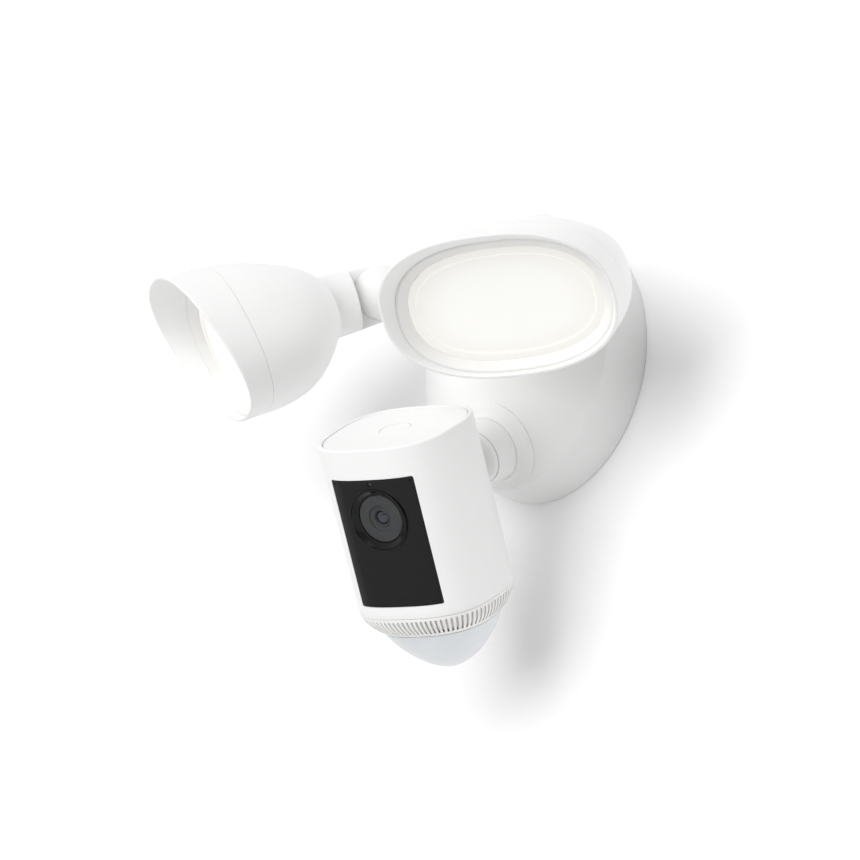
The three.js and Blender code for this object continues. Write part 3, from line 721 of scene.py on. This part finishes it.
def make_hood(frame, name):
    """The hood: out from the seam to a rounded lip, then in to the seat of the lens."""
    loops = [
        face(SEAM, 2.4, 0.1),
        face(SEAM, 0.22, 0.1),
        face(SEAM, 0.05, 0.17),
        face(SEAM, 0.0, 0.35),
    ]
    loops += [face(between(SEAM, MOUTH, share)) for share in np.linspace(0.08, 0.9, 10)]
    lip = 1.1
    for angle in np.radians(np.linspace(0, 180, 13)):
        loops.append(face(MOUTH, lip - lip * math.cos(angle), -lip + lip * math.sin(angle)))
    inner = {
        **MOUTH,
        "half_width": MOUTH["half_width"] - 2.2,
        "half_height": MOUTH["half_height"] - 2.2,
        "forward": MOUTH["forward"] - lip,
    }
    loops += [face(between(inner, SEAT, share)) for share in np.linspace(0.1, 1, 10)]
    loops += [face(SEAT, 0.3, -4), face(SEAT, 1, -9.5)]
    hood = made(skin(loops, closed=True), frame)
    finished(hood, f"hood_{name}", f"{name}_light", WHITE, [f"light_hood_{name}"], 40)


def make_lens(frame, name):
    """The bevelled frame, the seal behind it and the lit panel inside it."""
    body = f"{name}_light"
    bevel = [(0.12, -0.4, 0.1), (1.5, -0.4, 0.5), (6.1, -5, 0.4), (6.1, -7.4), (1.2, -7.4)]
    ring = eased(bevel, 3, True)
    bezel = made(skin([face(SEAT, inset, forward) for inset, forward in ring], closed=True), frame)
    # The lens frame takes the darker, warmer white as painted shade inside the hood.
    finished(bezel, f"lens_bevel_{name}", body, SOFT_WHITE, [f"lens_frame_{name}"])

    seal = eased([(1.5, -7.8, 0.3), (8.4, -7.8, 0.3), (8.4, -9.2, 0.3), (1.5, -9.2, 0.3)], 3, True)
    gasket = made(skin([face(SEAT, inset, forward) for inset, forward in seal], closed=True), frame)
    finished(gasket, f"lens_seal_{name}", body, RUBBER, [f"lens_gasket_{name}"])

    rise = 1.4
    profile = eased(
        [
            (8.8, -8.6),
            (8.8, -7.2),
            (6.2, -7.2, 0.2),
            (6.2, -5.35, 0.3),
            (10.2, -5.2, 0.5),
            (11.0, -6.5, 0.5),
            (PANEL_INSET, -6.5, 0.4),
        ],
        4,
    )
    inner_width = SEAT["half_width"] - PANEL_INSET
    inner_height = SEAT["half_height"] - PANEL_INSET
    loops = [face(SEAT, inset, forward) for inset, forward in profile]
    for share in np.linspace(0.04, 0.995, 26):
        scaled_place = {
            **SEAT,
            "half_width": inner_width * (1 - share),
            "half_height": inner_height * (1 - share),
        }
        loops.append(face(scaled_place, 0, -6.5 + rise * math.sin(share * math.pi / 2)))
    panel = made(skin(loops), frame)
    paint_glow(panel, frame)
    finished(panel, f"opal_panel_{name}", body, PANEL, [f"diffuser_{name}"])


def paint_glow(panel, frame):
    """Stores how brightly each point of the panel glows: it fades over the outer ring."""
    local = np.array(frame.inverted())
    count = len(panel.data.vertices)
    points = np.zeros(count * 3)
    panel.data.vertices.foreach_get("co", points)
    points = points.reshape(-1, 3) / MM @ local[:3, :3].T + local[:3, 3]
    across = np.abs(points[:, 0] / (SEAT["half_width"] - 6)) ** OVAL_POWER
    upward = np.abs((points[:, 2] + SEAT["drop"]) / (SEAT["half_height"] - 6)) ** OVAL_POWER
    size = (across + upward) ** (1 / OVAL_POWER)
    glow = np.clip((1.04 - size) / 0.42, 0, 1)
    attribute = panel.data.attributes.new("glow", "FLOAT", "POINT")
    attribute.data.foreach_set("value", glow.astype(np.float32))


def make_arm(frame, side, name):
    profile = eased(
        [
            (0, JOURNAL_END_HEIGHT),
            (JOURNAL_RADIUS, JOURNAL_END_HEIGHT),
            (JOURNAL_RADIUS, BOSS_TOP_HEIGHT + SEAM_GAP),
            (BOSS_TOP_RADIUS - 0.3, BOSS_TOP_HEIGHT + SEAM_GAP, 0.4),
            (BOSS_TOP_RADIUS - 0.8, BOSS_TOP_HEIGHT + 4, 2),
            (KNUCKLE_RADIUS, 121, 6),
            *arc(KNUCKLE_RADIUS, PIVOT_HEIGHT, 90, 0.1, 24),
        ],
        8,
    )
    arm = made(turned(profile), frame)
    pivot = frame @ Matrix.Translation((0, -PIVOT_HEIGHT, 0))
    carved(arm, [
        made(pin_bar(side, CHEEK_ROOM_RADIUS, -0.2, 30, 160), pivot),
        made(pin_bar(side, PIN_RADIUS + GAP, -12 - GAP, 30), pivot),
    ])
    finished(arm, f"knuckle_{name}", f"{name}_arm", WHITE, [f"arm_{name}"])


def make_pin(frame, side, name):
    pin = made(pin_bar(side, PIN_RADIUS, -12, PIN_HEAD_FROM + 1), frame)
    head_profile = eased(
        [
            (0, PIN_HEAD_FROM),
            (PIN_HEAD_RADIUS, PIN_HEAD_FROM, 0.2),
            (PIN_HEAD_RADIUS, PIN_HEAD_FROM + 2.2, 0.8),
            (0, PIN_HEAD_FROM + 2.6),
        ]
    )
    head = made(laid_across(turned(head_profile, sides=64), side), frame)
    hexagon = made(pin_bar(side, 2.3, PIN_HEAD_FROM + 1, PIN_HEAD_FROM + 4, sides=6), frame)
    carved(pin, [head], "UNION")
    carved(pin, [hexagon])
    finished(pin, f"pivot_pin_{name}", f"{name}_light", STEEL, [f"knuckle_pin_{name}"])


def make_light(side, swivel, bend):
    name = "right" if side > 0 else "left"
    clock = LIGHT_CLOCK if side > 0 else 180 - LIGHT_CLOCK
    boss = boss_frame(LIGHT_LEAN, clock)
    arm = boss @ turn(-swivel, "Y")
    head = arm @ Matrix.Translation((0, -PIVOT_HEIGHT, 0)) @ turn(bend, "X")
    make_boss(boss, f"light_{name}", LIGHT_FOOT_RADIUS)
    make_arm(arm, side, name)
    make_shell(head, side, name)
    make_hood(head, name)
    make_lens(head, name)
    make_pin(head, side, name)


# ---------------------------------------------------------------- camera
def make_stem():
    make_boss(CAMERA_BOSS, "camera", CAMERA_FOOT_RADIUS)
    collar_end = BOSS_FOOT_HEIGHT + 18.2
    collar = eased(
        [
            (8.3, JOURNAL_END_HEIGHT),
            (JOURNAL_RADIUS, JOURNAL_END_HEIGHT),
            (JOURNAL_RADIUS, BOSS_TOP_HEIGHT + SEAM_GAP),
            (BOSS_TOP_RADIUS - 0.5, BOSS_TOP_HEIGHT + SEAM_GAP, 0.3),
            (16.2, collar_end - 0.1, 0.5),
            (8.3, collar_end),
        ],
        6,
        closed=True,
    )
    ring = made(turned(collar, closed=True), CAMERA_BOSS)
    finished(ring, "stem_collar", "camera_stem", WHITE, ["swivel_collar"])

    neck = math.degrees(math.asin(STEM_NECK_RADIUS / BALL_RADIUS))
    profile = eased(
        [
            (4, 93),
            (8, 93),
            (8, collar_end + SEAM_GAP),
            (15.6, collar_end + SEAM_GAP, 0.3),
            (14.8, collar_end + 2.4, 1.2),
            (STEM_NECK_RADIUS + 2, collar_end + 6.6, 3),
            (STEM_NECK_RADIUS, collar_end + 9.7, 1),
            *arc(BALL_RADIUS, PIVOT_HEIGHT, 180 - neck, 17, 40),
            (4, PIVOT_HEIGHT + 11),
        ],
        8,
        closed=True,
    )
    stem = made(turned(profile, closed=True), CAMERA_BOSS)
    finished(stem, "stem_and_ball", "camera_stem", WHITE, ["ball_stem"])

    skin_arc = arc(15.5, 0, 110, 28, 24)
    face_arc = arc(BALL_RADIUS + GAP, 0, 28, 112, 24)
    liner = made(turned([*skin_arc, *face_arc], closed=True), CAMERA_FRAME)
    finished(liner, "friction_liner", "camera_pan_ring", DARK, ["ball_liner"])


def window_plate(spare, back, front):
    height = WINDOW["top"] - WINDOW["bottom"] + 2 * spare
    middle = (WINDOW["top"] + WINDOW["bottom"]) / 2
    width = 2 * (WINDOW["half_width"] + spare)
    return rounded_plate(width, height, WINDOW["corner"] + spare, back, front, middle)


def ball(radius, cut=0.0):
    """A sphere at the ball centre, or the part of it forward of `cut`."""
    start = math.degrees(math.acos(cut / radius)) if cut else 179.9
    return turned(arc(radius, 0, start, 0.1, 48))


def make_housing():
    top, bottom = BODY_HALF_HEIGHT, -BODY_HALF_HEIGHT
    edge = 1.1
    loops = [
        body_loop(bottom, WALL),
        body_loop(bottom, 0.5),
        body_loop(bottom + 0.15, 0.12),
        body_loop(bottom + 0.5, 0),
    ]
    loops += [body_loop(height, 0) for height in np.linspace(bottom + 4, top - 4, 12)]
    for angle in np.radians(np.linspace(0, 90, 9)):
        loops.append(body_loop(top - edge + edge * math.sin(angle), edge - edge * math.cos(angle)))
    loops += [
        body_loop(top, 1.9),
        body_loop(top - 0.12, 2.2),
        body_loop(top - 0.4, WALL - 0.05),
        body_loop(top - 5, WALL),
    ]
    housing = made(skin(loops, closed=True), BODY_FRAME)
    carved(housing, [made(ball(SOCKET_OUTER_RADIUS, -6), CAMERA_FRAME)], "UNION")
    carved(housing, [made(ball(15.9), CAMERA_FRAME), made(window_plate(0, 20, 60), BODY_FRAME)])
    finished(housing, "body_shell", "camera_body", WHITE, ["camera_housing"], 35)


def make_top():
    top = BODY_HALF_HEIGHT
    rim = WALL + GAP
    loops = [
        body_loop(top - 4, rim),
        body_loop(top - 1.2, rim),
        body_loop(top - 0.75, rim + 0.12),
        body_loop(top - 0.55, rim + 0.4),
    ]
    cap = made(skin(loops), BODY_FRAME)
    well_radius = BUTTON_RADIUS + 0.28
    well = rod(well_radius, top - 6, top + 1, upright=True)
    carved(cap, [made(well, BODY_FRAME)])
    finished(cap, "top_cap", "camera_body", WHITE, ["camera_top_cap"])
    profile = eased(
        [
            (0, top - 5),
            (BUTTON_RADIUS, top - 5),
            (BUTTON_RADIUS, top - 0.55, 0.35),
            (0, top - 0.55),
        ]
    )
    button = made(turned(profile, upright=True), BODY_FRAME)
    finished(button, "round_button", "camera_button", WHITE, ["setup_button"])


def make_window():
    front = BODY_HALF_DEPTH
    top, bottom = WINDOW["top"], WINDOW["bottom"]
    outer = made(skin([body_loop(bottom - 6, 0.25), body_loop(top + 6, 0.25)]), BODY_FRAME)
    inner = made(skin([body_loop(bottom - 7, 2.2), body_loop(top + 7, 2.2)]), BODY_FRAME)
    carved(outer, [made(window_plate(-0.25, 20, 60), BODY_FRAME)], "INTERSECT")
    lens_hole = shifted(rod(LENS_RING_RADIUS + 0.15, 0, 60), z=LENS_UP)
    cutters = [inner, made(lens_hole, BODY_FRAME)]
    for x, below, radius in ((-26, 2.4, 0.6), (0, EYE_BELOW, 1.3), (26, 2.4, 0.6)):
        hole = rod(radius, 0, 60, sides=32)
        cutters.append(made(shifted(hole, x=x, z=top - below), BODY_FRAME))
    carved(outer, cutters)
    finished(outer, "dark_window", "camera_body", GLOSS, ["front_window"])

    def lens_part(name, profile, material, nodes, closed=True):
        part = made(shifted(turned(profile, closed=closed), z=LENS_UP), BODY_FRAME)
        finished(part, name, "camera_body", material, nodes)

    rim = LENS_RING_RADIUS
    ring = eased(
        [
            (14.5, front - 8),
            (rim, front - 8),
            (rim, front + 0.25, 0.3),
            (rim - 0.7, front + 0.25, 0.3),
            (rim - 1.3, front - 0.9, 0.3),
            (15.2, front - 2.6, 0.6),
            (14.5, front - 2.7),
        ],
        4,
        closed=True,
    )
    lens_part("lens_ring", ring, GLOSS, ["lens_bezel"])
    barrel = eased(
        [
            (4.0, front - 22),
            (14.1, front - 22),
            (14.1, front - 3.0, 0.3),
            (7.9, front - 3.0, 0.3),
            (7.5, front - 3.9, 0.2),
            (5.6, front - 4.3, 0.3),
            (5.2, front - 3.7, 0.2),
            (4.7, front - 3.7, 0.2),
            (4.0, front - 4.9, 0.2),
        ],
        4,
        closed=True,
    )
    lens_part("lens_tube", barrel, CHARCOAL, ["lens_barrel"])
    dome = arc(6.0, front - 9.7, 39, 0.1, 16)
    glass = [(0, front - 12), (3.8, front - 12), *dome]
    lens_part("lens_front", glass, COATED, ["lens_glass"], False)
    mark_profile = [(0, front - 3.4), (1.2, front - 3.4), (1.2, front - 2.7, 0.3), (0, front - 2.6)]
    mark = turned(eased(mark_profile), sides=32)
    led = made(shifted(mark, z=LENS_UP + 12.3), BODY_FRAME)
    finished(led, "status_light", "camera_body", COATED, [])
    eye_profile = [(0, 30), (1.1, 30), (1.1, front - 0.7, 0.3), (0, front - 0.6)]
    eye = turned(eased(eye_profile), sides=32)
    sensor = made(shifted(eye, z=top - EYE_BELOW), BODY_FRAME)
    finished(sensor, "light_eye", "camera_body", COATED, ["light_sensor"])


def even_loop(height, inset, power, shares):
    """Points on a body section, at given shares of the way round it."""
    loop = body_loop(height, inset, power)[:, :2]
    closed = np.vstack([loop, loop[:1]])
    lengths = np.concatenate([[0], np.cumsum(np.linalg.norm(np.diff(closed, axis=0), axis=1))])
    wanted = (np.asarray(shares) % 1.0) * lengths[-1]
    x = np.interp(wanted, lengths, closed[:, 0])
    y = np.interp(wanted, lengths, closed[:, 1])
    return np.stack([x, y], 1)


def make_vent():
    """The vent ring: a curved band with narrow round-ended slots all the way round."""
    top = -BODY_HALF_HEIGHT - SEAM_GAP
    bottom = -BODY_HALF_HEIGHT - VENT_HEIGHT
    slot_top, slot_bottom = top - 1.7, bottom + 2.4
    before = [0.0, 0.12, 0.22, 0.265, 0.28, 0.3, 0.34, 0.42]
    after = [0.5, 0.58, 0.66, 0.7, 0.72, 0.735, 0.78, 0.88]
    columns = before + after
    half = 0.22
    depth = 2.6
    pitch = 1 / VENT_SLOTS
    shares = np.array([(slot + column) * pitch for slot in range(VENT_SLOTS) for column in columns])
    across = np.tile((np.array(columns) - 0.5) / half, VENT_SLOTS)
    inside = np.abs(across) < 1.001
    bulge = np.where(inside, np.sqrt(np.clip(1 - across**2, 0, 1)), 0) * 0.6

    def row(height, sunk=0.0):
        heights = np.broadcast_to(height, shares.shape)
        share = np.clip((top - heights) / (top - bottom), 0, 1)
        points = np.zeros((len(shares), 3))
        flat = {}
        for value in np.unique(np.round(share, 4)):
            flat[value] = even_loop(0, 0.4 + VENT_TAPER * value**2, 2.9 - 0.4 * value, shares)
        for i, value in enumerate(np.round(share, 4)):
            points[i, :2] = flat[value][i]
        scale = 1 - sunk / np.linalg.norm(points[:, :2], axis=1)
        points[:, :2] *= scale[:, None]
        points[:, 2] = heights
        return points

    sunk = np.where(inside, depth, 0.0)
    rows = [row(top, 3.4), row(top, 0.35), row(top - 0.12, 0.08), row(top - 0.4)]
    rows += [row(top - 1.1)]
    rows += [row(slot_top - 0.6 + bulge), row(slot_top - 0.62 + bulge, sunk)]
    straight = np.linspace(slot_top - 1.2, slot_bottom + 1.2, 7)
    rows += [row(np.full(len(shares), height), sunk) for height in straight]
    rows += [row(slot_bottom + 0.62 - bulge, sunk), row(slot_bottom + 0.6 - bulge)]
    rows += [row(bottom + 1.2), row(bottom + 0.5), row(bottom + 0.15, 0.15)]
    rows += [row(bottom, 0.5), row(bottom, 3.4)]
    vent = made(skin(rows, closed=True), BODY_FRAME)
    finished(vent, "slotted_ring", "camera_body", SOFT_WHITE, ["vent_ring"], 30)


def make_dome():
    rim = -BODY_HALF_HEIGHT - VENT_HEIGHT - SEAM_GAP
    tip = -SENSOR_DROP
    inset = VENT_TAPER + 0.5

    def loop(share, thickness):
        width = max(1 - share**1.25, 0) ** 0.55
        height = rim + (tip + thickness - rim) * share
        half_width = max((BODY_HALF_WIDTH - inset) * width - thickness, 0.02)
        half_depth = max((BODY_HALF_DEPTH - inset) * width - thickness, 0.02)
        flat = oval(half_width, half_depth, 2.5 - 0.5 * share)
        return np.column_stack([flat, np.full(AROUND, height)])

    shares = np.sin(np.linspace(0, math.pi / 2, 40))
    outer = [loop(share, 0) for share in shares]
    inner = [loop(share, 1.8) for share in shares[::-1][1:]]
    dome = made(skin([*outer, *inner], closed=True), BODY_FRAME)
    finished(dome, "milk_dome", "camera_body", MILKY, ["sensor_dome"], 60)


# ---------------------------------------------------------------- carried-over inner parts
METAL_PIECES = [
    "camera_boss_nut",
    "light_left_boss_nut",
    "light_right_boss_nut",
    "arm_clip_left",
    "arm_clip_right",
    "collar_clip",
    "motion_sensor",
]
INNER = [
    (STEEL, METAL_PIECES),
    (ALUMINIUM, ["heat_sink_left", "heat_sink_right"]),
    (BOARD, ["power_board", "control_board", "camera_board", "sensor_board"]),
    (DARK, ["power_driver", "button_switch", "image_sensor", "siren_speaker"]),
    (SOFT_WHITE, ["terminal_block", "led_board_left", "led_board_right"]),
]


def finish_inner_parts():
    for material, nodes in INNER:
        for node in nodes:
            thing = frame["nodes"][node]
            thing.data.materials.clear()
            thing.data.materials.append(material)


make_base()
make_back()
make_light(**LEFT_LIGHT)
make_light(**RIGHT_LIGHT)
make_stem()
make_housing()
make_top()
make_window()
make_vent()
make_dome()
finish_inner_parts()


# ---------------------------------------------------------------- scene
def plain(name, color, one_sided=False):
    material = bpy.data.materials.new(name)
    material.use_nodes = True
    nodes, links = material.node_tree.nodes, material.node_tree.links
    shader = nodes["Principled BSDF"]
    shader.inputs["Base Color"].default_value = (*color, 1)
    shader.inputs["Roughness"].default_value = 0.9
    shader.inputs["Specular IOR Level"].default_value = 0.1
    if one_sided:
        back = nodes.new("ShaderNodeNewGeometry").outputs["Backfacing"]
        clear = nodes.new("ShaderNodeBsdfTransparent")
        mix = nodes.new("ShaderNodeMixShader")
        links.new(back, mix.inputs["Fac"])
        links.new(shader.outputs["BSDF"], mix.inputs[1])
        links.new(clear.outputs["BSDF"], mix.inputs[2])
        links.new(mix.outputs["Shader"], nodes["Material Output"].inputs["Surface"])
    return material


def sheet(name, corners, material):
    mesh = bpy.data.meshes.new(name)
    mesh.from_pydata(corners, [], [(0, 1, 2, 3)])
    mesh.materials.append(material)
    thing = bpy.data.objects.new(name, mesh)
    bpy.context.scene.collection.objects.link(thing)


LIT_POINT = Vector((0, -0.08, -0.02))


def area_light(name, place, size, watts, mirrored=False):
    data = bpy.data.lights.new(name, "AREA")
    data.shape = "DISK"
    data.size = size
    data.energy = watts
    light = bpy.data.objects.new(name, data)
    light.location = place
    light.rotation_euler = (LIT_POINT - Vector(place)).to_track_quat("-Z", "Y").to_euler()
    light.visible_glossy = mirrored
    bpy.context.scene.collection.objects.link(light)


def light_the_room(world, middle, swing, towards):
    """A soft surrounding light that grows brighter evenly towards one side."""
    nodes, links = world.node_tree.nodes, world.node_tree.links
    place = nodes.new("ShaderNodeTexCoord")
    facing = nodes.new("ShaderNodeVectorMath")
    facing.operation = "DOT_PRODUCT"
    facing.inputs[1].default_value = Vector(towards).normalized()
    strength = nodes.new("ShaderNodeMath")
    strength.operation = "MULTIPLY_ADD"
    strength.inputs[1].default_value = swing
    strength.inputs[2].default_value = middle
    background = nodes["Background"]
    background.inputs["Color"].default_value = (1, 1, 1, 1)
    links.new(place.outputs["Generated"], facing.inputs[0])
    links.new(facing.outputs["Value"], strength.inputs[0])
    links.new(strength.outputs["Value"], background.inputs["Strength"])


REACH = 3.0  # metres, as all of the studio is
FLOOR = -1.35
WALL_PLACE = 0.0002
sheet(
    "wall",
    [
        (-REACH, WALL_PLACE, FLOOR),
        (REACH, WALL_PLACE, FLOOR),
        (REACH, WALL_PLACE, REACH),
        (-REACH, WALL_PLACE, REACH),
    ],
    plain("wall_paint", (0.99, 0.99, 0.99), one_sided=True),
)
sheet(
    "floor",
    [(-REACH, -REACH, FLOOR), (REACH, -REACH, FLOOR), (REACH, REACH, FLOOR), (-REACH, REACH, FLOOR)],
    plain("floor_paint", (0.6, 0.6, 0.6)),
)

world = bpy.data.worlds.new("studio")
bpy.context.scene.world = world
world.use_nodes = True
light_the_room(world, 0.34, 0.36, (-0.6, -0.4, 0.6))
area_light("key", (0.3, -3.2, 0.5), 3.0, 66)
area_light("side", (1.2, -2.2, 0.6), 1.2, 9, mirrored=True)


def aim_camera():
    azimuth, elevation = math.radians(VIEW["azimuth"]), math.radians(VIEW["elevation"])
    back = Vector((
        math.sin(azimuth) * math.cos(elevation),
        -math.cos(azimuth) * math.cos(elevation),
        math.sin(elevation),
    ))
    right = Vector((math.cos(azimuth), math.sin(azimuth), 0))
    up = back.cross(right)
    data = bpy.data.cameras.new("view")
    data.lens = VIEW["lens"]
    data.sensor_width = 36
    data.shift_x = VIEW_SHIFT
    data.clip_end = 20
    camera = bpy.data.objects.new("view", data)
    camera.location = back * VIEW["distance"] + right * VIEW_ASIDE - up * VIEW_BELOW
    camera.rotation_euler = Matrix((right, up, back)).transposed().to_euler()
    bpy.context.scene.collection.objects.link(camera)
    bpy.context.scene.camera = camera


aim_camera()
bpy.context.scene.view_settings.view_transform = "Standard"
